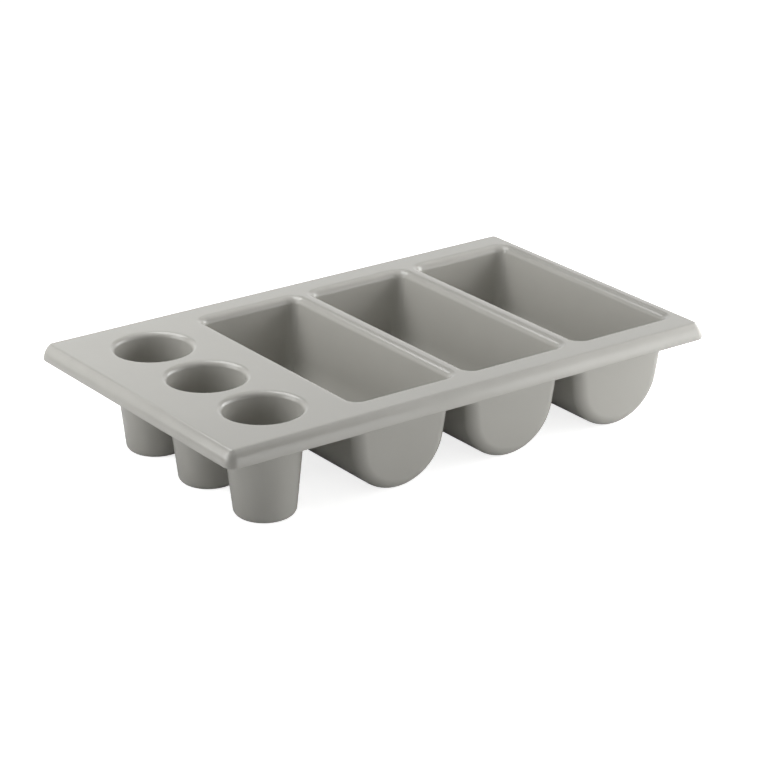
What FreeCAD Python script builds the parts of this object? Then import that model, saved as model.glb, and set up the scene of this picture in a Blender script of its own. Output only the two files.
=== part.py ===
import FreeCAD, Part
import math
import os
import Sketcher

# Cutlery dispenser tray in moulded plastic, sized to hang in a GN 1/1 cut-out.
# Frame: +Z up, X along the long side, Y along the short side, origin on the
# ground under the middle of the tray. The cups stand at the -X end.
# The tray is one wall of even thickness. It is divided here where that wall is
# flat, so that the rim, the deck, each trough and each cup is a sub-part, and
# neighbours meet face to face across the thickness of the deck.

SIZES = [
    # whole tray
    ("tray_length", 530.0),
    ("tray_width", 325.0),
    ("tray_height", 100.0),
    ("wall_thickness", 2.5),
    # rim: a quarter roll, then a short upright skirt
    ("rim_depth", 15.5),
    ("rim_roll_radius", 8.0),
    ("rim_edge_radius", 0.75),
    ("deck_corner_radius", 2.0),
    # flat strip of the deck that belongs to each trough or cup
    ("collar_land", 1.0),
    # row of troughs: its distance from the cup end and the other end of the tray,
    # the flat deck between two mouths, and a mouth's distance from a long side
    ("trough_row_start", 143.75),
    ("trough_row_end", 9.75),
    ("trough_gap", 5.0),
    ("trough_end_margin", 34.5),
    # each trough: half-round bottom, drafted sides and ends, rolled mouth
    ("trough_side_draft", 7.5),
    ("trough_end_draft", 4.0),
    ("trough_corner_radius", 9.0),
    ("trough_lip_radius", 6.0),
    # row of cups: its middle line's distance from the cup end of the tray, its
    # distance from a long side, and the flat deck between two mouths
    ("cup_row_inset", 80.0),
    ("cup_row_margin", 25.25),
    ("cup_gap", 9.5),
    # each cup: tapered tube with a flat floor and a rolled mouth
    ("cup_draft", 6.0),
    ("cup_floor_radius", 4.0),
    ("cup_lip_radius", 5.5),
]

TROUGH_NAMES = ["left_trough", "middle_trough", "right_trough"]
CUP_NAMES = ["front_cup", "middle_cup", "rear_cup"]

doc = FreeCAD.newDocument("cutlery_dispenser")
sheet = doc.addObject("Spreadsheet::Sheet", "Sizes")
for row, (alias, amount) in enumerate(SIZES, start=1):
    sheet.set("A%d" % row, alias)
    sheet.set("B%d" % row, str(amount))
    sheet.setAlias("B%d" % row, alias)
doc.recompute()


def round_start(radius, draft):
    """How far a round starts from the line where the flat deck and a drafted wall would meet."""
    return "(Sizes.%s * tan(45 - Sizes.%s / 2))" % (radius, draft)


# Derived sizes, as expressions on the sheet.
# A trough's mouth and a cup's mouth are measured where the planes of wall and
# deck would meet. Their lips are measured where the round leaves the flat deck.
DECK_LENGTH = "(Sizes.tray_length - 2 * Sizes.rim_roll_radius)"
DECK_WIDTH = "(Sizes.tray_width - 2 * Sizes.rim_roll_radius)"
TROUGH_PITCH = (
    "((Sizes.tray_length - Sizes.trough_row_start - Sizes.trough_row_end) / %d)" % len(TROUGH_NAMES)
)
FIRST_TROUGH_X = "(Sizes.trough_row_start - Sizes.tray_length / 2 + " + TROUGH_PITCH + " / 2)"
TROUGH_LIP_HALF_WIDTH = "(" + TROUGH_PITCH + " / 2 - Sizes.trough_gap / 2)"
TROUGH_MOUTH_HALF_WIDTH = (
    "(" + TROUGH_LIP_HALF_WIDTH + " - " + round_start("trough_lip_radius", "trough_side_draft") + ")"
)
TROUGH_MOUTH_HALF_LENGTH = "(Sizes.tray_width / 2 - Sizes.trough_end_margin)"
TROUGH_LIP_HALF_LENGTH = (
    "(" + TROUGH_MOUTH_HALF_LENGTH + " + " + round_start("trough_lip_radius", "trough_end_draft") + ")"
)
# the half-round bottom that the drafted sides run into from the mouth's width
TROUGH_BOTTOM_RADIUS = (
    "((" + TROUGH_MOUTH_HALF_WIDTH
    + " - (Sizes.tray_height - Sizes.wall_thickness) * tan(Sizes.trough_side_draft))"
    " * cos(Sizes.trough_side_draft) / (1 - sin(Sizes.trough_side_draft)))"
)
TROUGH_AXIS_HEIGHT = "(Sizes.wall_thickness + " + TROUGH_BOTTOM_RADIUS + ")"
TROUGH_COLLAR_LENGTH_X = "2 * (" + TROUGH_LIP_HALF_WIDTH + " + Sizes.collar_land)"
TROUGH_COLLAR_LENGTH_Y = "2 * (" + TROUGH_LIP_HALF_LENGTH + " + Sizes.collar_land)"
TROUGH_COLLAR_RADIUS = "Sizes.trough_corner_radius + Sizes.trough_lip_radius + Sizes.collar_land"
CUP_ROW_X = "(Sizes.cup_row_inset - Sizes.tray_length / 2)"
CUP_PITCH = "((Sizes.tray_width - 2 * Sizes.cup_row_margin) / %d)" % len(CUP_NAMES)
CUP_COLLAR_RADIUS = "(" + CUP_PITCH + " / 2 - Sizes.cup_gap / 2 + Sizes.collar_land)"
CUP_MOUTH_RADIUS = (
    "(" + CUP_PITCH + " / 2 - Sizes.cup_gap / 2 - " + round_start("cup_lip_radius", "cup_draft") + ")"
)

# A sketch's own axes and origin, and the places on a line or arc, by the
# numbers that constraints use.
Y_AXIS = -2
ORIGIN = (-1, 1)
START, END, CENTRE = 1, 2, 3
NORMAL = FreeCAD.Vector(0, 0, 1)
TOUCHING = 1e-4


def value(expression):
    """What an expression on the sheet comes to."""
    return float(sheet.evalExpression(expression))


def point(across, up):
    """A point in the plane of a sketch."""
    return FreeCAD.Vector(across, up, 0)


def polar(centre, radius, degrees):
    """The point of a circle at an angle from the x axis."""
    turn = math.radians(degrees)
    return centre + point(radius * math.cos(turn), radius * math.sin(turn))


class Section:
    """A sketch on an origin plane of its own body, with its sizes bound to the sheet."""

    def __init__(self, body, name, role):
        self.sketch = body.newObject("Sketcher::SketchObject", name)
        planes = {feature.Role: feature for feature in body.Origin.OriginFeatures}
        self.sketch.AttachmentSupport = [(planes[role], "")]
        self.sketch.MapMode = "FlatFace"

    def move(self, **offsets):
        """Shift the sketch's origin along its own x, y and z by expressions."""
        for direction, expression in offsets.items():
            self.sketch.setExpression("AttachmentOffset.Base." + direction, expression)
        return self

    def line(self, start, end):
        return self.sketch.addGeometry(Part.LineSegment(start, end), False)

    def circle(self, centre, radius):
        return self.sketch.addGeometry(Part.Circle(centre, NORMAL, radius), False)

    def arc(self, centre, radius, start, end):
        """An arc, anticlockwise from the start angle to the end angle in degrees."""
        circle = Part.Circle(centre, NORMAL, radius)
        arc = Part.ArcOfCircle(circle, math.radians(start), math.radians(end))
        return self.sketch.addGeometry(arc, False)

    def tie(self, kind, *places):
        """Add a constraint that has no size."""
        self.sketch.addConstraint(Sketcher.Constraint(kind, *places))

    def set(self, name, expression, kind, *places):
        """Add a driving dimension and bind it to the sheet."""
        amount = value(expression)
        if kind == "Angle":
            amount = math.radians(amount)
        index = self.sketch.addConstraint(Sketcher.Constraint(kind, *places, amount))
        self.sketch.renameConstraint(index, name)
        self.sketch.setExpression("Constraints." + name, expression)

    def finish(self):
        """Stop if the constraints disagree, else hand over the sketch."""
        doc.recompute()
        if self.sketch.solve() != 0:
            raise RuntimeError("sketch does not solve: " + self.sketch.Name)
        return self.sketch


def rounded_rectangle(section, length_x, length_y, radius):
    """A rectangle with round corners about the sketch's origin, sized by expressions."""
    half_x = value(length_x) / 2
    half_y = value(length_y) / 2
    corner = value(radius)
    lines = []
    arcs = []
    # anticlockwise from the corner at +x -y: each corner, then the side after it
    for turn, (side_x, side_y) in enumerate([(1, -1), (1, 1), (-1, 1), (-1, -1)]):
        centre = point(side_x * (half_x - corner), side_y * (half_y - corner))
        first_angle = 90 * (turn - 1)
        arcs.append(section.arc(centre, corner, first_angle, first_angle + 90))
        start = polar(centre, corner, first_angle + 90)
        run = 2 * ((half_y if turn % 2 == 0 else half_x) - corner)
        lines.append(section.line(start, polar(start, run, first_angle + 180)))
    for turn in range(4):
        section.tie("Tangent", arcs[turn], END, lines[turn], START)
        section.tie("Tangent", lines[turn], END, arcs[(turn + 1) % 4], START)
        section.tie("Vertical" if turn % 2 == 0 else "Horizontal", lines[turn])
    for arc in arcs[1:]:
        section.tie("Equal", arcs[0], arc)
    section.tie("Symmetric", arcs[0], CENTRE, arcs[2], CENTRE, *ORIGIN)
    section.set("CornerRadius", radius, "Radius", arcs[0])
    section.set("LengthX", length_x, "DistanceX", lines[2], START, lines[0], START)
    section.set("LengthY", length_y, "DistanceY", lines[3], START, lines[1], START)
    return section.finish()


def extrude(body, kind, name, sketch, length):
    """Pad or pocket a sketch downwards from the plane it lies in."""
    feature = body.newObject("PartDesign::" + kind, name)
    feature.Profile = sketch
    feature.Reversed = kind == "Pad"
    feature.setExpression("Length", length)
    doc.recompute()
    return feature


def round_edges(body, name, base, radius, wanted):
    """Fillet the edges of a feature that pass the test."""
    edges = ["Edge%d" % number for number, edge in enumerate(base.Shape.Edges, start=1) if wanted(edge)]
    if not edges:
        raise RuntimeError("no edges for " + name)
    fillet = body.newObject("PartDesign::Fillet", name)
    fillet.Base = (base, edges)
    fillet.setExpression("Radius", radius)
    doc.recompute()
    return fillet


def lies_at_height(edge, height):
    """Whether the whole edge lies in one level plane."""
    box = edge.BoundBox
    return abs(box.ZMin - height) < TOUCHING and abs(box.ZMax - height) < TOUCHING


def trough_form(body, prefix, offset):
    """Solid trough, grown by an offset: half-round bottom, drafted sides and ends, round corners."""
    radius_expression = TROUGH_BOTTOM_RADIUS + " + " + offset
    half_width_expression = TROUGH_MOUTH_HALF_WIDTH + " + " + offset + " / cos(Sizes.trough_side_draft)"
    side_draft = value("Sizes.trough_side_draft")
    radius = value(radius_expression)
    half_width = value(half_width_expression)
    top = value("Sizes.tray_height")
    axis = point(0, value(TROUGH_AXIS_HEIGHT))

    section = Section(body, prefix + "_section", "XZ_Plane")
    bottom = section.arc(axis, radius, 180 + side_draft, 360 - side_draft)
    right = section.line(polar(axis, radius, -side_draft), point(half_width, top))
    mouth = section.line(point(half_width, top), point(-half_width, top))
    left = section.line(point(-half_width, top), polar(axis, radius, 180 + side_draft))
    section.tie("Tangent", bottom, END, right, START)
    section.tie("Coincident", right, END, mouth, START)
    section.tie("Coincident", mouth, END, left, START)
    section.tie("Tangent", left, END, bottom, START)
    section.tie("PointOnObject", bottom, CENTRE, Y_AXIS)
    section.tie("Symmetric", mouth, START, mouth, END, Y_AXIS)
    section.set("BottomRadius", radius_expression, "Radius", bottom)
    section.set("AxisHeight", TROUGH_AXIS_HEIGHT, "DistanceY", *ORIGIN, bottom, CENTRE)
    section.set("TopHeight", "Sizes.tray_height", "DistanceY", *ORIGIN, mouth, START)
    section.set("MouthWidth", "2 * (" + half_width_expression + ")", "DistanceX", mouth, END, mouth, START)

    block = body.newObject("PartDesign::Pad", prefix + "_block")
    block.Profile = section.finish()
    block.Midplane = True
    block.setExpression(
        "Length", "2 * (" + TROUGH_MOUTH_HALF_LENGTH + " + " + offset + " / cos(Sizes.trough_end_draft))"
    )
    doc.recompute()

    half_length = block.Shape.BoundBox.YMax
    end_faces = []
    mouth_faces = []
    for number, face in enumerate(block.Shape.Faces, start=1):
        if abs(abs(face.CenterOfMass.y) - half_length) < TOUCHING:
            end_faces.append("Face%d" % number)
        if abs(face.CenterOfMass.z - top) < TOUCHING:
            mouth_faces.append("Face%d" % number)
    draft = body.newObject("PartDesign::Draft", prefix + "_end_draft")
    draft.Base = (block, end_faces)
    draft.NeutralPlane = (block, mouth_faces)
    draft.setExpression("Angle", "Sizes.trough_end_draft")
    draft.recompute()
    doc.recompute()
    if draft.Shape.Volume > block.Shape.Volume:
        raise RuntimeError("the end draft leans outwards: " + draft.Name)

    def runs_round_an_end(edge):
        return edge.BoundBox.YLength < half_length and not lies_at_height(edge, top)

    corner_radius = "Sizes.trough_corner_radius + " + offset
    return round_edges(body, prefix + "_corners", draft, corner_radius, runs_round_an_end)


def make_trough(label, place):
    """One trough: outer form and collar, less the hollow, with both sides of the mouth rounded."""
    hollow = doc.addObject("PartDesign::Body", label + "_hollow")
    trough_form(hollow, label + "_hollow", "0")

    body = doc.addObject("PartDesign::Body", label)
    trough_form(body, label, "Sizes.wall_thickness")
    outline = Section(body, label + "_collar_outline", "XY_Plane").move(z="Sizes.tray_height")
    collar_sketch = rounded_rectangle(
        outline, TROUGH_COLLAR_LENGTH_X, TROUGH_COLLAR_LENGTH_Y, TROUGH_COLLAR_RADIUS
    )
    collar = extrude(body, "Pad", label + "_collar", collar_sketch, "Sizes.wall_thickness")

    deck_top = value("Sizes.tray_height")
    deck_underside = deck_top - value("Sizes.wall_thickness")
    land = value("Sizes.collar_land")
    inside_x = value(TROUGH_COLLAR_LENGTH_X) / 2 - land / 2
    inside_y = value(TROUGH_COLLAR_LENGTH_Y) / 2 - land / 2

    def lies_inside_collar(edge):
        box = edge.BoundBox
        return max(-box.XMin, box.XMax) < inside_x and max(-box.YMin, box.YMax) < inside_y

    def meets_collar_underside(edge):
        return lies_at_height(edge, deck_underside) and lies_inside_collar(edge)

    def runs_round_the_mouth(edge):
        return lies_at_height(edge, deck_top) and lies_inside_collar(edge)

    underside_radius = "max(Sizes.trough_lip_radius - Sizes.wall_thickness; Sizes.collar_land / 2)"
    round_edges(body, label + "_lip_underside", collar, underside_radius, meets_collar_underside)
    cavity = body.newObject("PartDesign::Boolean", label + "_cavity")
    cavity.setObjects([hollow])
    cavity.Type = "Cut"
    doc.recompute()
    round_edges(body, label + "_lip", cavity, "Sizes.trough_lip_radius", runs_round_the_mouth)
    body.setExpression("Placement.Base.x", FIRST_TROUGH_X + " + %d * %s" % (place, TROUGH_PITCH))
    return body


def make_cup(label, place):
    """One cup, turned about its own axis from the section of its wall."""
    height = value("Sizes.tray_height")
    wall = value("Sizes.wall_thickness")
    land = value("Sizes.collar_land")
    slope = value("Sizes.cup_draft")
    lip_radius = value("Sizes.cup_lip_radius")
    bend_radius = value("Sizes.cup_floor_radius")
    collar_radius = value(CUP_COLLAR_RADIUS)
    lip_centre = point(collar_radius - land, height - lip_radius)
    foot_drop = height - wall - bend_radius
    wall_foot = value(CUP_MOUTH_RADIUS) - foot_drop * math.tan(math.radians(slope))
    bend_centre = point(wall_foot - bend_radius / math.cos(math.radians(slope)), wall + bend_radius)

    body = doc.addObject("PartDesign::Body", label)
    section = Section(body, label + "_section", "XZ_Plane")
    floor_bottom = section.line(point(0, 0), point(bend_centre.x, 0))
    outer_bend = section.arc(bend_centre, bend_radius + wall, -90, -slope)
    outer_wall = section.line(
        polar(bend_centre, bend_radius + wall, -slope), polar(lip_centre, lip_radius - wall, 180 - slope)
    )
    lip_underside = section.arc(lip_centre, lip_radius - wall, 90, 180 - slope)
    collar_underside = section.line(
        point(lip_centre.x, height - wall), point(collar_radius, height - wall)
    )
    collar_side = section.line(point(collar_radius, height - wall), point(collar_radius, height))
    collar_top = section.line(point(collar_radius, height), point(lip_centre.x, height))
    lip = section.arc(lip_centre, lip_radius, 90, 180 - slope)
    inner_wall = section.line(
        polar(lip_centre, lip_radius, 180 - slope), polar(bend_centre, bend_radius, -slope)
    )
    inner_bend = section.arc(bend_centre, bend_radius, -90, -slope)
    floor_top = section.line(point(bend_centre.x, wall), point(0, wall))
    axis_side = section.line(point(0, wall), point(0, 0))

    section.tie("Tangent", floor_bottom, END, outer_bend, START)
    section.tie("Tangent", outer_bend, END, outer_wall, START)
    section.tie("Tangent", outer_wall, END, lip_underside, END)
    section.tie("Tangent", lip_underside, START, collar_underside, START)
    section.tie("Coincident", collar_underside, END, collar_side, START)
    section.tie("Coincident", collar_side, END, collar_top, START)
    section.tie("Tangent", collar_top, END, lip, START)
    section.tie("Tangent", lip, END, inner_wall, START)
    section.tie("Tangent", inner_wall, END, inner_bend, END)
    section.tie("Tangent", inner_bend, START, floor_top, START)
    section.tie("Coincident", floor_top, END, axis_side, START)
    section.tie("Coincident", axis_side, END, floor_bottom, START)
    section.tie("Coincident", floor_bottom, START, *ORIGIN)
    for level in (floor_bottom, floor_top, collar_top, collar_underside):
        section.tie("Horizontal", level)
    for upright in (axis_side, collar_side):
        section.tie("Vertical", upright)
    section.tie("Coincident", lip, CENTRE, lip_underside, CENTRE)
    section.tie("Coincident", outer_bend, CENTRE, inner_bend, CENTRE)
    section.set("FloorThickness", "Sizes.wall_thickness", "DistanceY", floor_bottom, START, floor_top, END)
    section.set("CollarThickness", "Sizes.wall_thickness", "DistanceY", collar_side, START, collar_side, END)
    section.set("DeckHeight", "Sizes.tray_height", "DistanceY", *ORIGIN, collar_top, START)
    section.set("BendRadius", "Sizes.cup_floor_radius", "Radius", inner_bend)
    section.set("LipRadius", "Sizes.cup_lip_radius", "Radius", lip)
    section.set("CollarRadius", CUP_COLLAR_RADIUS, "DistanceX", *ORIGIN, collar_side, START)
    section.set("CollarLand", "Sizes.collar_land", "DistanceX", collar_top, END, collar_top, START)
    section.set("WallSlope", "90 - Sizes.cup_draft", "Angle", floor_bottom, START, outer_wall, START)

    turned = body.newObject("PartDesign::Revolution", label + "_turned")
    turned.Profile = section.finish()
    turned.ReferenceAxis = (section.sketch, ["V_Axis"])
    turned.Angle = 360
    doc.recompute()
    body.setExpression("Placement.Base.x", CUP_ROW_X)
    body.setExpression("Placement.Base.y", "%d * %s" % (place, CUP_PITCH))
    return body


def cut_row(body, name, sketch, axis, pitch, count):
    """Cut a sketch through the deck and repeat the cut in a row."""
    before = body.Shape.Volume
    pocket = extrude(body, "Pocket", name, sketch, "Sizes.wall_thickness")
    if pocket.Shape.Volume > before - 1:
        raise RuntimeError("nothing was cut by " + name)
    row = body.newObject("PartDesign::LinearPattern", name + "_row")
    row.Originals = [pocket]
    row.Direction = (sketch, [axis])
    row.Mode = "Spacing"
    row.setExpression("Offset", pitch)
    row.Occurrences = count
    body.Tip = row
    doc.recompute()


def make_deck():
    """The flat deck, with an opening for each trough and cup."""
    body = doc.addObject("PartDesign::Body", "deck_panel")
    outline = Section(body, "deck_outline", "XY_Plane").move(z="Sizes.tray_height")
    deck_sketch = rounded_rectangle(outline, DECK_LENGTH, DECK_WIDTH, "Sizes.deck_corner_radius")
    extrude(body, "Pad", "deck_sheet", deck_sketch, "Sizes.wall_thickness")

    opening = Section(body, "trough_opening", "XY_Plane")
    opening.move(x=FIRST_TROUGH_X, z="Sizes.tray_height")
    opening_sketch = rounded_rectangle(
        opening, TROUGH_COLLAR_LENGTH_X, TROUGH_COLLAR_LENGTH_Y, TROUGH_COLLAR_RADIUS
    )
    cut_row(body, "trough_cut", opening_sketch, "H_Axis", TROUGH_PITCH, len(TROUGH_NAMES))

    hole = Section(body, "cup_opening", "XY_Plane")
    hole.move(x=CUP_ROW_X, y="-" + CUP_PITCH, z="Sizes.tray_height")
    ring = hole.circle(point(0, 0), value(CUP_COLLAR_RADIUS))
    hole.tie("Coincident", ring, CENTRE, *ORIGIN)
    hole.set("Radius", CUP_COLLAR_RADIUS, "Radius", ring)
    cut_row(body, "cup_cut", hole.finish(), "V_Axis", CUP_PITCH, len(CUP_NAMES))
    return body


def make_rim():
    """The rim: its section carried once round the outline of the deck."""
    roll_radius = value("Sizes.rim_roll_radius")
    depth = value("Sizes.rim_depth")
    wall = value("Sizes.wall_thickness")
    edge = value("Sizes.rim_edge_radius")
    inner = roll_radius - wall
    roll_centre = point(0, -roll_radius)
    outer_edge_centre = point(roll_radius - edge, edge - depth)
    inner_edge_centre = point(inner + edge, edge - depth)

    body = doc.addObject("PartDesign::Body", "rim_frame")
    path = Section(body, "rim_path", "XY_Plane").move(z="Sizes.tray_height")
    path_sketch = rounded_rectangle(path, DECK_LENGTH, DECK_WIDTH, "Sizes.deck_corner_radius")

    section = Section(body, "rim_section", "XZ_Plane")
    section.move(x=DECK_LENGTH + " / 2", y="Sizes.tray_height")
    deck_side = section.line(point(0, -wall), point(0, 0))
    roll = section.arc(roll_centre, roll_radius, 0, 90)
    outside = section.line(point(roll_radius, -roll_radius), point(roll_radius, edge - depth))
    outer_edge = section.arc(outer_edge_centre, edge, -90, 0)
    foot = section.line(point(roll_radius - edge, -depth), point(inner + edge, -depth))
    inner_edge = section.arc(inner_edge_centre, edge, 180, 270)
    inside = section.line(point(inner, edge - depth), point(inner, -roll_radius))
    roll_underside = section.arc(roll_centre, inner, 0, 90)
    section.tie("Coincident", deck_side, END, roll, END)
    section.tie("Tangent", roll, START, outside, START)
    section.tie("Tangent", outside, END, outer_edge, END)
    section.tie("Tangent", outer_edge, START, foot, START)
    section.tie("Tangent", foot, END, inner_edge, END)
    section.tie("Tangent", inner_edge, START, inside, START)
    section.tie("Tangent", inside, END, roll_underside, START)
    section.tie("Coincident", roll_underside, END, deck_side, START)
    for upright in (deck_side, outside, inside):
        section.tie("Vertical", upright)
    section.tie("Horizontal", foot)
    section.tie("Coincident", roll, CENTRE, roll_underside, CENTRE)
    section.tie("Coincident", deck_side, END, *ORIGIN)
    section.tie("PointOnObject", roll, CENTRE, Y_AXIS)
    section.tie("Equal", outer_edge, inner_edge)
    section.set("RollRadius", "Sizes.rim_roll_radius", "Radius", roll)
    section.set("Wall", "Sizes.wall_thickness", "DistanceY", deck_side, START, deck_side, END)
    section.set("RimDepth", "Sizes.rim_depth", "DistanceY", foot, START, *ORIGIN)
    section.set("EdgeRadius", "Sizes.rim_edge_radius", "Radius", outer_edge)

    sweep = body.newObject("PartDesign::AdditivePipe", "rim_sweep")
    sweep.Profile = section.finish()
    sweep.Spine = (path_sketch, [])
    doc.recompute()
    return body


sub_parts = [make_rim(), make_deck()]
for place, label in enumerate(TROUGH_NAMES):
    sub_parts.append(make_trough(label, place))
# the middle cup stands on the tray's long middle line
for place, label in enumerate(CUP_NAMES, start=-1):
    sub_parts.append(make_cup(label, place))
doc.recompute()

for thing in doc.Objects:
    if "Invalid" in thing.State or "Error" in thing.State:
        raise RuntimeError("failed object: " + thing.Name)
for part in sub_parts:
    if part.Shape.isNull() or not part.Shape.isValid() or len(part.Shape.Solids) != 1:
        raise RuntimeError("bad shape: " + part.Label)

os.makedirs("parts", exist_ok=True)
for part in sub_parts:
    part.Shape.exportStep(os.path.join("parts", part.Label + ".step"))
    print("%-14s %9.1f mm3" % (part.Label, part.Shape.Volume))
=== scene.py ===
import math

import bmesh
import bpy
import numpy as np
from bpy.props import FloatProperty, FloatVectorProperty, PointerProperty
from mathutils import Matrix, Vector


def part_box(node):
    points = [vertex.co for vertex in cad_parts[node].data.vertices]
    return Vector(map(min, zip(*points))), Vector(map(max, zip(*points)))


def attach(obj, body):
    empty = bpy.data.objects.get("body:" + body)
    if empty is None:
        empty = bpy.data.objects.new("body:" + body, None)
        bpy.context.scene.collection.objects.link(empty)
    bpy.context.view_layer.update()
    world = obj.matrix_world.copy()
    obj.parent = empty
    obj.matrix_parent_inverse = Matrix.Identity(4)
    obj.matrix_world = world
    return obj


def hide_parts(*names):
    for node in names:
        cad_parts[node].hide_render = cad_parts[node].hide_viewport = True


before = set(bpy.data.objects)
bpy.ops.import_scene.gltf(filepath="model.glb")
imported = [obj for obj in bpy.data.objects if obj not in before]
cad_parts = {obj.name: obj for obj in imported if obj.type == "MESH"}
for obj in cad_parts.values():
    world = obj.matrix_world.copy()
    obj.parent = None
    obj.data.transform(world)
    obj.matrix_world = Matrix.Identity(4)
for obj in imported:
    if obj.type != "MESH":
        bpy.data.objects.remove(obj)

# Cutlery dispenser tray, moulded in one wall of even thickness: a flat deck with
# a rolled rim, three long troughs and three round cups. Each surface is worked
# out from a few sizes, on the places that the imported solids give, in metres.
# Frame: +Z up, X along the long side, Y along the short side, cups at -X.

bl_info = {
    "name": "Cutlery Dispenser Tray",
    "version": (1, 0, 0),
    "blender": (4, 5, 0),
    "location": "3D View > Sidebar > Tray",
    "description": "Moulded tray with troughs and cups for cutlery, its plastic and a plain studio",
    "category": "Add Mesh",
}

TROUGHS = ("left_trough", "middle_trough", "right_trough")
CUPS = ("front_cup", "middle_cup", "rear_cup")
UP = np.array([0.0, 0.0, 1.0])

# Segments round a trough's mouth: half a long side, a corner, half an end.
SIDE_STEPS = 36
CORNER_STEPS = 24
END_STEPS = 12
TROUGH_LOOP = 4 * (SIDE_STEPS + CORNER_STEPS + END_STEPS)
CUP_LOOP = 128
# Segments round half of the deck's own rounded corner.
DECK_CORNER_STEPS = 8
# Segments down a section: a trough's round bottom and its wall, the lip of a trough
# or cup, a cup's floor, bend and wall, and the rim's two bends and its edges.
BOTTOM_STEPS = 32
TROUGH_WALL_STEPS = 10
LIP_STEPS = 20
CUP_FLOOR_STEPS = 6
CUP_BEND_STEPS = 12
CUP_WALL_STEPS = 12
RIM_BEND_STEPS = 16
RIM_ARC_STEPS = 24
RIM_EDGE_STEPS = 8
# Share of the way from lip to opening at which one more loop keeps the flat land flat.
LAND_SHARE = 0.1
# Points closer than this, in metres, are one point.
WELD = 2e-6
# Edges sharper than this are shaded as edges.
SHARP = math.radians(30)

# The plastic's colour, in shares of its own: its darkest and lightest patches, and
# rubbed edges with how far they turn to that tint.
PATCH_TINTS = (0.965, 1.035)
RUBBED_TINT = 1.12
RUBBED_SHARE = 0.35
PLASTIC_IOR = 1.5

# The camera, fitted to the photo: its place in metres, how far round, up and rolled it
# stands in degrees, and the focal length in widths of the picture.
CAMERA_PLACE = (-1.46057, -2.07379, 1.06267)
CAMERA_TURN = (-35.25, 21.71, -0.399)
CAMERA_FOCAL = 2920 / 760
CAMERA_REACH = 50.0
SENSOR_WIDTH = 36.0

FLOOR_REACH = 6.0
FLOOR_ROUGHNESS = 0.9
# Distances from the middle of the tray between which the floor turns to full white.
GLOW_START = 0.35
GLOW_END = 0.75
# What gloss sees, by the parts of its way upwards and towards +Y: a backdrop that
# begins behind the tray and ends at a height, a dim gap, then the ceiling.
BACKDROP_SIDE = (-0.1, 0.15)
BACKDROP_TOP = (0.43, 0.50)
CEILING_EDGE = (0.62, 0.72)

# Square softboxes, which all face AIM: name, place and side in metres, power in watts.
AIM = (0.0, 0.0, 0.08)
SOFTBOXES = (
    ("back_left", (-0.29, 0.44, 0.93), 0.7, 6.9),
    ("left", (-1.0, 0.4, 0.5), 0.7, 4.7),
    ("side_left", (-1.0, -0.05, 0.45), 0.5, 0.6),
    ("right_front", (0.62, -0.72, 0.2), 0.4, 1.6),
    ("upper_front", (0.62, -0.72, 0.6), 0.4, 0.75),
    ("right", (0.95, -0.15, 0.25), 0.9, 11.5),
    ("front", (-0.1, -1.0, 0.2), 0.5, 0.55),
    ("low_front", (0.1, -0.75, 0.12), 0.45, 1.1),
    ("glint", (-1.12, -1.24, 0.95), 0.15, 0.4),
)


class TraySizes(bpy.types.PropertyGroup):
    """Sizes of the moulding."""

    wall: FloatProperty(
        name="Wall", description="Thickness of the moulded wall",
        default=0.0025, unit="LENGTH")
    rim_width: FloatProperty(
        name="Rim width", description="Width of the rolled rim outside the deck",
        default=0.008, unit="LENGTH")
    rim_bend: FloatProperty(
        name="Rim bend", description="Radius of the bend where the deck turns down into the rim",
        default=0.003, unit="LENGTH")
    rim_edge: FloatProperty(
        name="Rim edge", description="Radius of the rim's lower edges",
        default=0.00075, unit="LENGTH")
    deck_corner: FloatProperty(
        name="Deck corner", description="Plan radius of the deck's corners inside the rim's roll",
        default=0.002, unit="LENGTH")
    land: FloatProperty(
        name="Land", description="Flat strip of deck that belongs to a cup",
        default=0.001, unit="LENGTH")
    trough_land: FloatProperty(
        name="Trough land", description="Flat strip of deck that belongs to a trough",
        default=0.0002, unit="LENGTH")
    trough_lip: FloatProperty(
        name="Trough lip", description="Radius of the roll from deck to trough wall",
        default=0.008, unit="LENGTH")
    trough_corner: FloatProperty(
        name="Trough corner", description="Radius between the side walls and the ends",
        default=0.009, unit="LENGTH")
    side_draft: FloatProperty(
        name="Side draft", description="Lean of a trough's long sides from upright",
        default=math.radians(7.5), unit="ROTATION")
    end_draft: FloatProperty(
        name="End draft", description="Lean of a trough's ends from upright",
        default=math.radians(4.0), unit="ROTATION")
    cup_lip: FloatProperty(
        name="Cup lip", description="Radius of the roll from deck to cup wall",
        default=0.0055, unit="LENGTH")
    cup_draft: FloatProperty(
        name="Cup draft", description="Lean of a cup's wall from upright",
        default=math.radians(6.0), unit="ROTATION")
    cup_bend: FloatProperty(
        name="Cup bend", description="Inner radius between a cup's wall and floor",
        default=0.004, unit="LENGTH")


class PlasticLook(bpy.types.PropertyGroup):
    """The moulded plastic."""

    colour: FloatVectorProperty(
        name="Colour", description="Colour of the plastic", subtype="COLOR", size=3,
        min=0.0, max=1.0, default=(0.456, 0.448, 0.416))
    roughness: FloatProperty(
        name="Roughness", description="Roughness of the moulded skin",
        default=0.2, min=0.0, max=1.0)
    grain: FloatProperty(
        name="Grain", description="Width of one grain of the moulded skin",
        default=0.0011, unit="LENGTH")
    grain_depth: FloatProperty(
        name="Grain depth", description="Depth of the grain",
        default=0.000004, unit="LENGTH")


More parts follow.
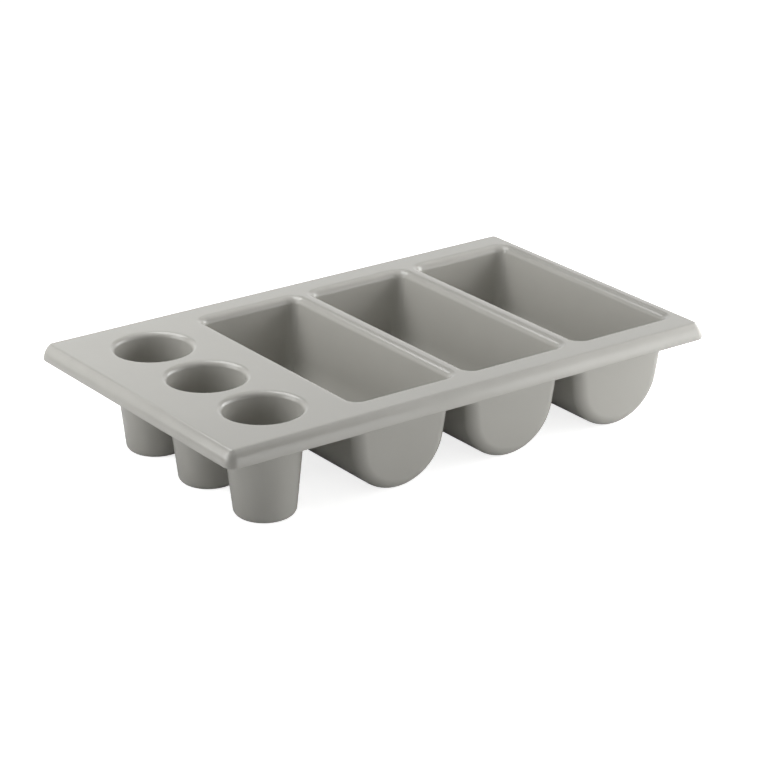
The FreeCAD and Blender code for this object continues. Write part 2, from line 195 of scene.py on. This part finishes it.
class StageLook(bpy.types.PropertyGroup):
    """Floor and light."""

    floor_colour: FloatVectorProperty(
        name="Floor", description="Colour of the floor", subtype="COLOR", size=3,
        min=0.0, max=1.0, default=(0.8, 0.8, 0.8))
    surround: FloatProperty(
        name="Surround", description="Strength of the faint even light from all round",
        default=0.005, min=0.0)
    softboxes: FloatProperty(
        name="Softboxes", description="Strength of all the softboxes together",
        default=1.0, min=0.0)
    gloss_shade: FloatProperty(
        name="Gloss shade",
        description="Share of white that gloss sees beside the backdrop and the ceiling",
        default=0.08, min=0.0, max=1.0)
    near_glow: FloatProperty(
        name="Near glow",
        description="Share of white that the camera sees in the floor next to the tray",
        default=0.8, min=0.0, max=1.0)


class Field:
    """One output of a material's nodes; arithmetic on it adds the Math nodes."""

    def __init__(self, tree, socket):
        self.tree = tree
        self.socket = socket

    def node(self, kind, settings=None, output=0, **inputs):
        """Add any node: its settings, then values or links by socket name, or number as i0."""
        node = self.tree.nodes.new(kind)
        for name, setting in (settings or {}).items():
            setattr(node, name, setting)
        for name, content in inputs.items():
            key = int(name[1:]) if name[1:].isdigit() else name.replace("_", " ")
            socket = node.inputs[key]
            if isinstance(content, Field):
                self.tree.links.new(content.socket, socket)
            else:
                socket.default_value = content
        return Field(self.tree, node.outputs[output])

    def math(self, operation, first, second=0.0):
        return self.node("ShaderNodeMath", {"operation": operation}, i0=first, i1=second)

    def __add__(self, other):
        return self.math("ADD", self, other)

    __radd__ = __add__

    def __sub__(self, other):
        return self.math("SUBTRACT", self, other)

    def __rsub__(self, other):
        return self.math("SUBTRACT", other, self)

    def __mul__(self, other):
        return self.math("MULTIPLY", self, other)

    __rmul__ = __mul__

    def between(self, low, high):
        """0 below low, 1 above high, with a smooth rise."""
        return self.node(
            "ShaderNodeMapRange", {"interpolation_type": "SMOOTHSTEP"},
            Value=self, From_Min=low, From_Max=high)


def solid_box(node):
    """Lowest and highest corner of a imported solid."""
    low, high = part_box(node)
    return np.array(low), np.array(high)


def slerp(first, second, share):
    """Turn one unit vector towards another along their great circle."""
    angle = np.arccos(np.clip((first * second).sum(-1, keepdims=True), -1.0, 1.0))
    return (np.sin((1 - share) * angle) * first + np.sin(share * angle) * second) / np.sin(angle)


def mirrored_loop(quarter):
    """Close quarter loops, from the +X axis to the +Y axis, into whole anticlockwise loops."""
    back = quarter[:, ::-1]
    return np.concatenate([
        quarter[:, :-1],
        back[:, :-1] * [-1, 1, 1],
        quarter[:, :-1] * [-1, -1, 1],
        back[:, :-1] * [1, -1, 1],
    ], axis=1)


def loop_faces(rows, columns, wrap_rows=False):
    """Quads between neighbouring loops, which lie one after the other in the list of points."""
    row, column = np.meshgrid(
        np.arange(rows if wrap_rows else rows - 1), np.arange(columns), indexing="ij")
    following = (row + 1) % rows
    beside = (column + 1) % columns
    corners = [row * columns + column, row * columns + beside,
               following * columns + beside, following * columns + column]
    return np.stack(corners, axis=-1).reshape(-1, 4)


def enclosed_volume(points, faces):
    """Signed volume inside quads: positive where they face outwards."""
    a, b, c, d = (points[faces[:, corner]] for corner in range(4))
    return ((a * np.cross(b, c)).sum() + (a * np.cross(c, d)).sum()) / 6


def add_piece(name, node, patches, material):
    """Weld patches of (points, faces, edge wear) into one closed mesh that stands for a node."""
    patch_points, patch_faces, patch_worn = zip(*patches)
    starts = np.cumsum([0] + [len(points) for points in patch_points])
    points = np.concatenate(patch_points)
    faces = np.concatenate([faces + start for faces, start in zip(patch_faces, starts)])
    worn = np.concatenate(patch_worn)
    if enclosed_volume(points, faces) < 0:
        faces = faces[:, ::-1]

    mesh = bpy.data.meshes.new(name)
    mesh.from_pydata(points.tolist(), [], faces.tolist())
    attribute = mesh.attributes.new("edge_wear", "FLOAT", "POINT")
    attribute.data.foreach_set("value", worn.astype(np.float32))
    welded = bmesh.new()
    welded.from_mesh(mesh)
    bmesh.ops.remove_doubles(welded, verts=welded.verts, dist=WELD)
    open_edges = sum(not edge.is_manifold for edge in welded.edges)
    welded.to_mesh(mesh)
    welded.free()
    if open_edges:
        raise RuntimeError("%s has %d open edges" % (name, open_edges))
    mesh.shade_smooth()
    mesh.set_sharp_from_angle(angle=SHARP)
    mesh.materials.append(material)

    piece = bpy.data.objects.new(name, mesh)
    bpy.context.scene.collection.objects.link(piece)
    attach(piece, "root")
    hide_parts(node)


def quarter_shares():
    """Shares of a trough's quarter loop: along the side, round the corner, across the end."""
    side, corner, end = (
        np.linspace(0, 1, steps + 1) for steps in (SIDE_STEPS, CORNER_STEPS, END_STEPS))
    along = np.concatenate([side, np.ones(CORNER_STEPS + END_STEPS)])
    turn = np.concatenate([np.zeros(SIDE_STEPS), corner, np.ones(END_STEPS)])
    across = np.concatenate([np.ones(SIDE_STEPS + CORNER_STEPS), end[::-1]])
    return along, turn, across


def lip_wear():
    """Edge wear over a lip's loops, most in the middle of the roll."""
    return np.sin(np.linspace(0, math.pi, LIP_STEPS + 1)[1:])


def trough_opening(sizes, reach, height):
    """Quarter of the deck's opening for a trough: half its sides and a round corner."""
    along, turn, across = quarter_shares()
    radius = sizes.trough_corner + sizes.trough_lip + sizes.trough_land
    angle = turn * math.pi / 2
    return np.stack([
        across * (reach[0] - radius) + radius * np.cos(angle),
        along * (reach[1] - radius) + radius * np.sin(angle),
        np.full(len(turn), height),
    ], axis=-1)


def trough_surface(sizes, node):
    """A trough's wall as loops round its mouth, from the inner bottom line to the outer one.

    The hollow is the space that a ball of the corner radius sweeps. Its centre runs
    on a spine: round the bottom at the bottom radius less the ball's, up the drafted
    sides, and at each end as far from the end plane as the ball's radius. A point of
    the inner wall is the spine plus the radius times the outward direction, which
    turns from the side's to the end's round a corner. The outer wall adds the wall's
    thickness. The lip turns about a line that lies its own radius under the deck and
    outside the wall.
    """
    low, high = solid_box(node)
    middle = (low + high) / 2
    reach = (high - low) / 2
    wall, lip, corner = sizes.wall, sizes.trough_lip, sizes.trough_corner
    alpha, beta = sizes.side_draft, sizes.end_draft
    deck = high[2]
    mouth_x = reach[0] - sizes.trough_land - lip * math.tan(math.pi / 4 - alpha / 2)
    mouth_y = reach[1] - sizes.trough_land - lip * math.tan(math.pi / 4 - beta / 2)
    drop = deck - low[2] - wall
    bottom = (mouth_x - drop * math.tan(alpha)) * math.cos(alpha) / (1 - math.sin(alpha))
    axis = low[2] + wall + bottom

    along, turn, across = quarter_shares()
    end_way = np.array([0.0, math.cos(beta), -math.sin(beta)])

    def spine_y(height):
        return mouth_y + ((height - deck) * math.sin(beta) - corner) / math.cos(beta)

    def spine_x(height):
        return mouth_x + ((height - deck) * math.sin(alpha) - corner) / math.cos(alpha)

    def spine(x, height):
        return np.stack(np.broadcast_arrays(across * x, along * spine_y(height), height), axis=-1)

    # round bottom, from straight down to the side's lean
    phi = np.linspace(math.pi / 2, alpha, BOTTOM_STEPS + 1)[:, None]
    side_way = np.stack(np.broadcast_arrays(np.cos(phi), 0.0, -np.sin(phi)), axis=-1)
    round_way = slerp(side_way, end_way, turn[:, None])
    round_spine = spine(
        (bottom - corner) * np.cos(phi), axis - (bottom - corner) * np.sin(phi) + 0 * turn)

    # drafted wall, from there to where the lip begins
    wall_way = round_way[-1]
    lip_height = deck - lip - (corner + lip) * wall_way[:, 2]
    rise = np.linspace(0, 1, TROUGH_WALL_STEPS + 1)[1:, None]
    height = round_spine[-1, :, 2] * (1 - rise) + lip_height * rise
    wall_spine = spine(spine_x(height), height)

    # lip, from the wall to the deck
    lip_line = spine(spine_x(lip_height), lip_height) + (corner + lip) * wall_way
    roll = np.linspace(0, 1, LIP_STEPS + 1)[1:, None, None]
    lip_way = slerp(-wall_way, UP, roll)

    # flat land out to the edge of the deck's opening
    edge_top = trough_opening(sizes, reach, deck)
    edge_under = edge_top - [0, 0, wall]
    tangent = lip_line + lip * UP
    tangent_under = lip_line + (lip - wall) * UP

    loops = [
        round_spine + corner * round_way,
        wall_spine + corner * wall_way,
        lip_line + lip * lip_way,
        (tangent + LAND_SHARE * (edge_top - tangent))[None],
        edge_top[None],
        edge_under[None],
        (tangent_under + LAND_SHARE * (edge_under - tangent_under))[None],
        (lip_line + (lip - wall) * lip_way)[::-1],
        (wall_spine + (corner + wall) * wall_way)[::-1],
        (round_spine + (corner + wall) * round_way)[::-1],
    ]
    wear = [np.zeros(len(part)) for part in loops]
    wear[2] = lip_wear()
    quarter = np.concatenate(loops)
    return mirrored_loop(quarter) + [middle[0], middle[1], 0], np.concatenate(wear)


def cup_surface(sizes, node):
    """A cup's wall, turned about its own axis from the inner floor to the outer one.

    The section follows the floor, a bend, a wall that leans by the draft, and a lip
    that turns over onto the deck. The outside lies the wall's thickness off the inside.
    """
    low, high = solid_box(node)
    middle = (low + high) / 2
    reach = (high[0] - low[0]) / 2
    wall, lip, bend = sizes.wall, sizes.cup_lip, sizes.cup_bend
    deck = high[2]
    draft = sizes.cup_draft
    way = np.array([math.cos(draft), -math.sin(draft)])
    lip_centre = np.array([reach - sizes.land, deck - lip])
    wall_top = lip_centre - lip * way
    bend_height = low[2] + wall + bend
    foot = wall_top[0] + (bend_height + bend * way[1] - wall_top[1]) * math.tan(draft)
    bend_centre = np.array([foot - bend * way[0], bend_height])

    def fan(start, stop, steps):
        angle = np.linspace(start, stop, steps + 1)[1:, None]
        return np.concatenate([np.cos(angle), np.sin(angle)], axis=1)

    def run(start, stop, steps):
        return start + np.linspace(0, 1, steps + 1)[1:, None] * (np.asarray(stop) - start)

    floor_edge = np.array([bend_centre[0], low[2] + wall])
    round_bend = fan(-math.pi / 2, -draft, CUP_BEND_STEPS)
    round_lip = fan(math.pi - draft, math.pi / 2, LIP_STEPS)
    tangent = lip_centre + [0, lip]
    edge = np.array([reach, deck])
    under = np.array([0, -wall])
    inside = [
        np.array([[0.0, low[2] + wall]]),
        run(np.array([0.0, low[2] + wall]), floor_edge, CUP_FLOOR_STEPS),
        bend_centre + bend * round_bend,
        run(bend_centre + bend * way, wall_top, CUP_WALL_STEPS),
        lip_centre + lip * round_lip,
        (tangent + LAND_SHARE * (edge - tangent))[None],
        edge[None],
    ]
    outside = [
        np.array([[0.0, low[2]]]),
        run(np.array([0.0, low[2]]), floor_edge + under, CUP_FLOOR_STEPS),
        bend_centre + (bend + wall) * round_bend,
        run(bend_centre + (bend + wall) * way, lip_centre - (lip - wall) * way, CUP_WALL_STEPS),
        lip_centre + (lip - wall) * round_lip,
        (tangent + under + LAND_SHARE * (edge - tangent))[None],
        (edge + under)[None],
    ]
    wear = [np.zeros(len(part)) for part in inside]
    wear[4] = lip_wear()
    section = np.concatenate(inside + [np.concatenate(outside)[::-1]])
    worn = np.concatenate(wear + [np.zeros(sum(len(part) for part in outside))])
    angle = np.linspace(0, 2 * math.pi, CUP_LOOP, endpoint=False)
    radius, height = section[:, :1], section[:, 1:]
    loops = np.stack(np.broadcast_arrays(
        middle[0] + radius * np.cos(angle), middle[1] + radius * np.sin(angle), height), axis=-1)
    return loops, worn


def opening_plan(sizes, node):
    """The deck's opening for one mouth, anticlockwise from the +X side."""
    low, high = solid_box(node)
    middle = (low + high)[:2] / 2
    reach = (high - low)[:2] / 2
    if node in TROUGHS:
        return mirrored_loop(trough_opening(sizes, reach, 0.0)[None])[0, :, :2] + middle
    angle = np.linspace(0, 2 * math.pi, CUP_LOOP, endpoint=False)
    return middle + reach[0] * np.stack([np.cos(angle), np.sin(angle)], axis=-1)


def deck_cells(sizes):
    """Plan of the deck: for each mouth, the border of its own cell, in step with its loop.

    The deck is shared out along lines halfway between neighbouring mouths. A border
    runs anticlockwise from its lower right corner. Sides that two cells share have
    the same points, and the deck's own corners are rounded.
    """
    low, high = solid_box("deck_panel")
    troughs = [solid_box(name) for name in TROUGHS]
    cups = [solid_box(name) for name in CUPS]
    half_gap = (troughs[1][0][0] - troughs[0][1][0]) / 2
    columns = [troughs[0][0][0] - half_gap]
    columns += [(left[1][0] + right[0][0]) / 2 for left, right in zip(troughs, troughs[1:])]
    columns += [high[0]]
    rows = [low[1]]
    rows += [(near[1][1] + far[0][1]) / 2 for near, far in zip(cups, cups[1:])]
    rows += [high[1]]

    def side(start, stop, steps, round_start, round_stop, cuts=()):
        """Points from one corner to the next, without the last."""
        start, stop = np.array(start), np.array(stop)
        along = (stop - start) / np.linalg.norm(stop - start)
        inward = np.array([-along[1], along[0]])
        radius = sizes.deck_corner
        angle = np.linspace(0, math.pi / 4, DECK_CORNER_STEPS + 1)[:, None]
        steps -= DECK_CORNER_STEPS * (round_start + round_stop)
        first = start + radius * along * round_start
        last = stop - radius * along * round_stop
        marks = np.array([0.0] + [(cut - first[1]) / (last[1] - first[1]) for cut in cuts] + [1.0])
        share = np.interp(np.linspace(0, len(marks) - 1, steps + 1), np.arange(len(marks)), marks)
        points = [first + share[:, None] * (last - first)]
        if round_start:
            centre = start + radius * (along + inward)
            bend = np.cos(angle) * -inward + np.sin(angle) * -along
            points.insert(0, (centre + radius * bend)[::-1][:-1])
        if round_stop:
            centre = stop + radius * (inward - along)
            bend = np.cos(angle) * -inward + np.sin(angle) * along
            points.append((centre + radius * bend)[1:])
        return np.concatenate(points)[:-1]

    cells = {}
    for name, left, right in zip(TROUGHS, columns, columns[1:]):
        last = name == TROUGHS[-1]
        upright = TROUGH_LOOP // 3
        level = TROUGH_LOOP // 6
        cuts = () if last else rows[1:-1]
        cells[name] = [
            side((right, rows[0]), (right, rows[-1]), upright, last, last, cuts),
            side((right, rows[-1]), (left, rows[-1]), level, last, False),
            side((left, rows[-1]), (left, rows[0]), upright, False, False, rows[-2:0:-1]),
            side((left, rows[0]), (right, rows[0]), level, False, last),
        ]
    for name, near, far in zip(CUPS, rows, rows[1:]):
        first, last = name == CUPS[0], name == CUPS[-1]
        steps = CUP_LOOP // 4
        left, right = low[0], columns[0]
        cells[name] = [
            side((right, near), (right, far), steps, False, False),
            side((right, far), (left, far), steps, False, last),
            side((left, far), (left, near), steps, last, first),
            side((left, near), (right, near), steps, first, False),
        ]
    return cells


def deck_outline(cells):
    """The deck's outer edge, anticlockwise, from the outer sides of the cells."""
    right, top, left, bottom = range(4)
    sides = [cells[CUPS[0]][bottom]]
    sides += [cells[name][bottom] for name in TROUGHS]
    sides += [cells[TROUGHS[-1]][right]]
    sides += [cells[name][top] for name in TROUGHS[::-1]]
    sides += [cells[CUPS[-1]][top]]
    sides += [cells[name][left] for name in CUPS[::-1]]
    return np.concatenate(sides)


def at_height(plan, height):
    """Lift points of the plan to one height."""
    return np.concatenate([plan, np.full((len(plan), 1), height)], axis=1)


def as_patch(loops, worn, wrap_rows=False):
    """Points, faces and edge wear of a stack of loops."""
    rows, columns = loops.shape[:2]
    return loops.reshape(-1, 3), loop_faces(rows, columns, wrap_rows), np.repeat(worn, columns)


def rim_section(sizes, depth):
    """The rim's section, outwards and down from the deck's top edge: (out, up, edge wear).

    A tight bend leads off the deck into a wide one, which stands upright where the
    rounding of the lower edge begins. Both bends share a tangent, so the distance of
    their centres is the difference of their radii, and that gives the wide radius and
    the lean at which one takes over. The way back lies one wall further in.
    """
    width, bend, wall, edge = sizes.rim_width, sizes.rim_bend, sizes.wall, sizes.rim_edge
    drop = depth - edge
    wide = (width ** 2 - bend ** 2 + (drop - bend) ** 2) / (2 * (width - bend))
    lean = math.asin((wide - width) / (wide - bend))
    tight_turn = np.linspace(0, lean, RIM_BEND_STEPS + 1)
    wide_turn = np.linspace(lean, math.pi / 2, RIM_ARC_STEPS + 1)
    small = np.linspace(0, math.pi / 2, RIM_EDGE_STEPS + 1)

    def arc(out, up, radius, turn):
        return out + radius * np.sin(turn), up + radius * np.cos(turn)

    parts = [
        (*arc(0, -bend, bend, tight_turn), np.sin(2 * tight_turn)),
        (*arc(width - wide, -drop, wide, wide_turn[1:]), np.sin(2 * wide_turn[1:])),
        (*arc(width - edge, -drop, edge, math.pi / 2 + small[1:]), np.sin(2 * small[1:])),
        (*arc(width - wall + edge, -drop, edge, math.pi + small), 0 * small),
        (*arc(width - wide, -drop, wide - wall, wide_turn[-2::-1]), 0 * wide_turn[1:]),
        (*arc(0, -bend, bend - wall, tight_turn[-2::-1]), 0 * tight_turn[1:]),
    ]
    return np.concatenate([np.stack(part, axis=-1) for part in parts])


def moulded_plastic(look):
    """Warm grey plastic with a fine moulded grain, faint flow marks and rubbed edges."""
    material = bpy.data.materials.get("moulded_plastic_skin")
    if material:
        return material
    material = bpy.data.materials.new("moulded_plastic_skin")
    material.use_nodes = True
    tree = material.node_tree
    shader = tree.nodes["Principled BSDF"]
    blank = Field(tree, None)
    place = blank.node("ShaderNodeTexCoord", output=3)
    worn = blank.node("ShaderNodeAttribute", {"attribute_name": "edge_wear"}, output=2)

    def noise(vector, scale, detail, roughness):
        return blank.node(
            "ShaderNodeTexNoise", Vector=vector, Scale=scale, Detail=detail, Roughness=roughness)

    # scales are in patches to a metre; the flow marks run along the tray
    grain = noise(place, 1 / look.grain, 2.0, 0.6)
    mottle = noise(place, 26.0, 4.0, 0.55)
    cloud = noise(place, 7.0, 2.0, 0.5)
    stretched = blank.node("ShaderNodeMapping", Vector=place, Scale=(60.0, 900.0, 60.0))
    scuff = noise(stretched, 1.0, 3.0, 0.7).between(0.62, 0.74)
    rubbed = worn * mottle.between(0.35, 0.65)

    shade = 0.5 + 0.6 * (mottle - 0.5) + 0.8 * (cloud - 0.5)
    dark, light, bare = (
        (*(Vector(look.colour) * share), 1.0) for share in (*PATCH_TINTS, RUBBED_TINT))
    tint = blank.node("ShaderNodeMix", {"data_type": "RGBA"}, output=2, i0=shade, i6=dark, i7=light)
    tint = blank.node(
        "ShaderNodeMix", {"data_type": "RGBA"}, output=2, i0=rubbed * RUBBED_SHARE, i6=tint, i7=bare)
    tree.links.new(tint.socket, shader.inputs["Base Color"])

    roughness = look.roughness + 0.05 * (mottle - 0.5) + 0.06 * scuff - 0.03 * rubbed
    tree.links.new(roughness.socket, shader.inputs["Roughness"])

    relief = grain + 0.25 * scuff
    bump = blank.node("ShaderNodeBump", Strength=1.0, Distance=look.grain_depth, Height=relief)
    tree.links.new(bump.socket, shader.inputs["Normal"])
    shader.inputs["IOR"].default_value = PLASTIC_IOR
    return material


def add_softbox(name, place, side, power):
    """A square lamp that faces AIM, in the middle of the tray."""
    lamp = bpy.data.lights.new(name, "AREA")
    lamp.shape = "SQUARE"
    lamp.size = side
    lamp.energy = power
    holder = bpy.data.objects.new(name, lamp)
    aim = (Vector(AIM) - Vector(place)).to_track_quat("-Z", "Y")
    holder.matrix_world = Matrix.Translation(place) @ aim.to_matrix().to_4x4()
    bpy.context.scene.collection.objects.link(holder)


class TRAY_OT_rim(bpy.types.Operator):
    """Carry the rim's section round the deck"""

    bl_idname = "tray.rim"
    bl_label = "Rim"

    def execute(self, context):
        sizes = context.scene.tray_sizes
        outline = deck_outline(deck_cells(sizes))
        low, high = solid_box("rim_frame")
        reach = (high - low)[:2] / 2 - sizes.rim_width - sizes.deck_corner
        outward = outline - np.clip(outline, -reach, reach)
        outward /= np.linalg.norm(outward, axis=1, keepdims=True)
        out, up, worn = rim_section(sizes, high[2] - low[2]).T
        plan = outline + out[:, None, None] * outward
        height = np.broadcast_to(high[2] + up[:, None, None], (*plan.shape[:2], 1))
        loops = np.concatenate([plan, height], axis=2)
        patch = as_patch(loops, worn, wrap_rows=True)
        add_piece("rim", "rim_frame", [patch], moulded_plastic(context.scene.tray_plastic))
        return {"FINISHED"}


class TRAY_OT_deck(bpy.types.Operator):
    """Lay the flat deck between the rim and the mouths"""

    bl_idname = "tray.deck"
    bl_label = "Deck"

    def execute(self, context):
        sizes = context.scene.tray_sizes
        cells = deck_cells(sizes)
        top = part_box("deck_panel")[1][2]
        under = top - sizes.wall
        patches = []
        for name, sides in cells.items():
            opening = opening_plan(sizes, name)
            # both start at the lower right: the opening's own first point lies half a side further
            opening = np.roll(opening, len(sides[0]) // 2, axis=0)
            border = np.concatenate(sides)
            stack = np.stack([
                at_height(border, under), at_height(opening, under),
                at_height(opening, top), at_height(border, top)])
            patches.append(as_patch(stack, np.zeros(4)))
        outline = deck_outline(cells)
        stack = np.stack([at_height(outline, top), at_height(outline, under)])
        patches.append(as_patch(stack, np.zeros(2)))
        add_piece("deck", "deck_panel", patches, moulded_plastic(context.scene.tray_plastic))
        return {"FINISHED"}


class TRAY_OT_troughs(bpy.types.Operator):
    """Form the three long troughs"""

    bl_idname = "tray.troughs"
    bl_label = "Troughs"

    def execute(self, context):
        for name in TROUGHS:
            patch = as_patch(*trough_surface(context.scene.tray_sizes, name))
            add_piece(name + "_shell", name, [patch], moulded_plastic(context.scene.tray_plastic))
        return {"FINISHED"}


class TRAY_OT_cups(bpy.types.Operator):
    """Turn the three round cups"""

    bl_idname = "tray.cups"
    bl_label = "Cups"

    def execute(self, context):
        for name in CUPS:
            patch = as_patch(*cup_surface(context.scene.tray_sizes, name))
            add_piece(name + "_shell", name, [patch], moulded_plastic(context.scene.tray_plastic))
        return {"FINISHED"}


class TRAY_OT_stage(bpy.types.Operator):
    """Set the floor, the light and the camera"""

    bl_idname = "tray.stage"
    bl_label = "Stage"

    def execute(self, context):
        scene = context.scene
        look = scene.tray_stage
        add_floor(look)
        add_surround(look)
        for name, place, side, power in SOFTBOXES:
            add_softbox(name, place, side, power * look.softboxes)
        add_camera(scene)
        scene.view_settings.view_transform = "Standard"
        return {"FINISHED"}


def add_floor(look):
    """A pale floor that the camera sees as white outside the tray's own soft shadow."""
    mesh = bpy.data.meshes.new("floor")
    reach = FLOOR_REACH
    corner_points = [(-reach, -reach, 0), (reach, -reach, 0), (reach, reach, 0), (-reach, reach, 0)]
    mesh.from_pydata(corner_points, [], [(0, 1, 2, 3)])
    floor = bpy.data.objects.new("floor", mesh)
    bpy.context.scene.collection.objects.link(floor)
    material = bpy.data.materials.new("pale_floor")
    material.use_nodes = True
    tree = material.node_tree
    shader = tree.nodes["Principled BSDF"]
    shader.inputs["Base Color"].default_value = (*look.floor_colour, 1.0)
    shader.inputs["Roughness"].default_value = FLOOR_ROUGHNESS
    shader.inputs["Specular IOR Level"].default_value = 0.0
    shader.inputs["Emission Color"].default_value = (1.0, 1.0, 1.0, 1.0)
    blank = Field(tree, None)
    seen = blank.node("ShaderNodeLightPath", output=0)
    place = blank.node("ShaderNodeTexCoord", output=3)
    away = blank.node("ShaderNodeVectorMath", {"operation": "LENGTH"}, output=1, i0=place)
    glow = look.near_glow + (1.0 - look.near_glow) * away.between(GLOW_START, GLOW_END)
    tree.links.new((seen * glow).socket, shader.inputs["Emission Strength"])
    mesh.materials.append(material)


def add_surround(look):
    """A white surround for the camera, which lights the tray only faintly.

    Gloss shows a white backdrop behind the tray and a white ceiling. All else is
    dim to it, also the gap above the backdrop's top edge: that is the thin dark line
    along the tray's bends.
    """
    world = bpy.data.worlds.new("surround")
    world.use_nodes = True
    tree = world.node_tree
    background = tree.nodes["Background"]
    blank = Field(tree, None)
    seen = blank.node("ShaderNodeLightPath", output=0)
    mirrored = blank.node("ShaderNodeLightPath", output=3)
    through = blank.node("ShaderNodeLightPath", output=6)
    way = blank.node("ShaderNodeTexCoord", output=0)
    height = blank.node("ShaderNodeSeparateXYZ", output=2, Vector=way)
    behind = blank.node("ShaderNodeSeparateXYZ", output=1, Vector=way).between(*BACKDROP_SIDE)
    backdrop = behind * (1.0 - height.between(*BACKDROP_TOP))
    bright = backdrop + height.between(*CEILING_EDGE)
    bright = look.gloss_shade + (1.0 - look.gloss_shade) * bright
    gloss = blank.math("MAXIMUM", mirrored, through) * bright
    strength = look.surround + (1.0 - look.surround) * blank.math("MAXIMUM", seen, gloss)
    tree.links.new(strength.socket, background.inputs["Strength"])
    background.inputs["Color"].default_value = (1.0, 1.0, 1.0, 1.0)
    bpy.context.scene.world = world


def add_camera(scene):
    """A long lens, seen from the front left and above."""
    camera = bpy.data.cameras.new("camera")
    camera.sensor_width = SENSOR_WIDTH
    camera.lens = CAMERA_FOCAL * SENSOR_WIDTH
    camera.clip_end = CAMERA_REACH
    holder = bpy.data.objects.new("camera", camera)
    azimuth, elevation, roll = (math.radians(angle) for angle in CAMERA_TURN)
    back = Vector((
        math.sin(azimuth) * math.cos(elevation), -math.cos(azimuth) * math.cos(elevation),
        math.sin(elevation)))
    right = Vector((0.0, 0.0, 1.0)).cross(back).normalized()
    up = back.cross(right)
    turned_right = math.cos(roll) * right + math.sin(roll) * up
    turned_up = -math.sin(roll) * right + math.cos(roll) * up
    axes = Matrix((turned_right, turned_up, back)).transposed()
    holder.matrix_world = Matrix.Translation(CAMERA_PLACE) @ axes.to_4x4()
    scene.collection.objects.link(holder)
    scene.camera = holder


class TRAY_PT_sidebar(bpy.types.Panel):
    """Steps and sizes of the tray"""

    bl_idname = "TRAY_PT_sidebar"
    bl_label = "Cutlery Dispenser Tray"
    bl_space_type = "VIEW_3D"
    bl_region_type = "UI"
    bl_category = "Tray"

    def draw(self, context):
        for step in STEPS:
            self.layout.operator(step.bl_idname)
        for group in ("tray_sizes", "tray_plastic", "tray_stage"):
            settings = getattr(context.scene, group)
            box = self.layout.box()
            for name in settings.__annotations__:
                box.prop(settings, name)


STEPS = (TRAY_OT_rim, TRAY_OT_deck, TRAY_OT_troughs, TRAY_OT_cups, TRAY_OT_stage)
CLASSES = (TraySizes, PlasticLook, StageLook, *STEPS, TRAY_PT_sidebar)


def register():
    for item in CLASSES:
        bpy.utils.register_class(item)
    bpy.types.Scene.tray_sizes = PointerProperty(type=TraySizes)
    bpy.types.Scene.tray_plastic = PointerProperty(type=PlasticLook)
    bpy.types.Scene.tray_stage = PointerProperty(type=StageLook)


def unregister():
    del bpy.types.Scene.tray_stage
    del bpy.types.Scene.tray_plastic
    del bpy.types.Scene.tray_sizes
    for item in reversed(CLASSES):
        bpy.utils.unregister_class(item)


def corners(bounds):
    """Both corners of a box as plain lists of numbers."""
    return [[float(number) for number in corner] for corner in bounds]


def main():
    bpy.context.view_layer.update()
    register()
    bpy.ops.tray.rim()
    bpy.ops.tray.deck()
    bpy.ops.tray.troughs()
    bpy.ops.tray.cups()
    bpy.ops.tray.stage()


if __name__ == "__main__":
    main()
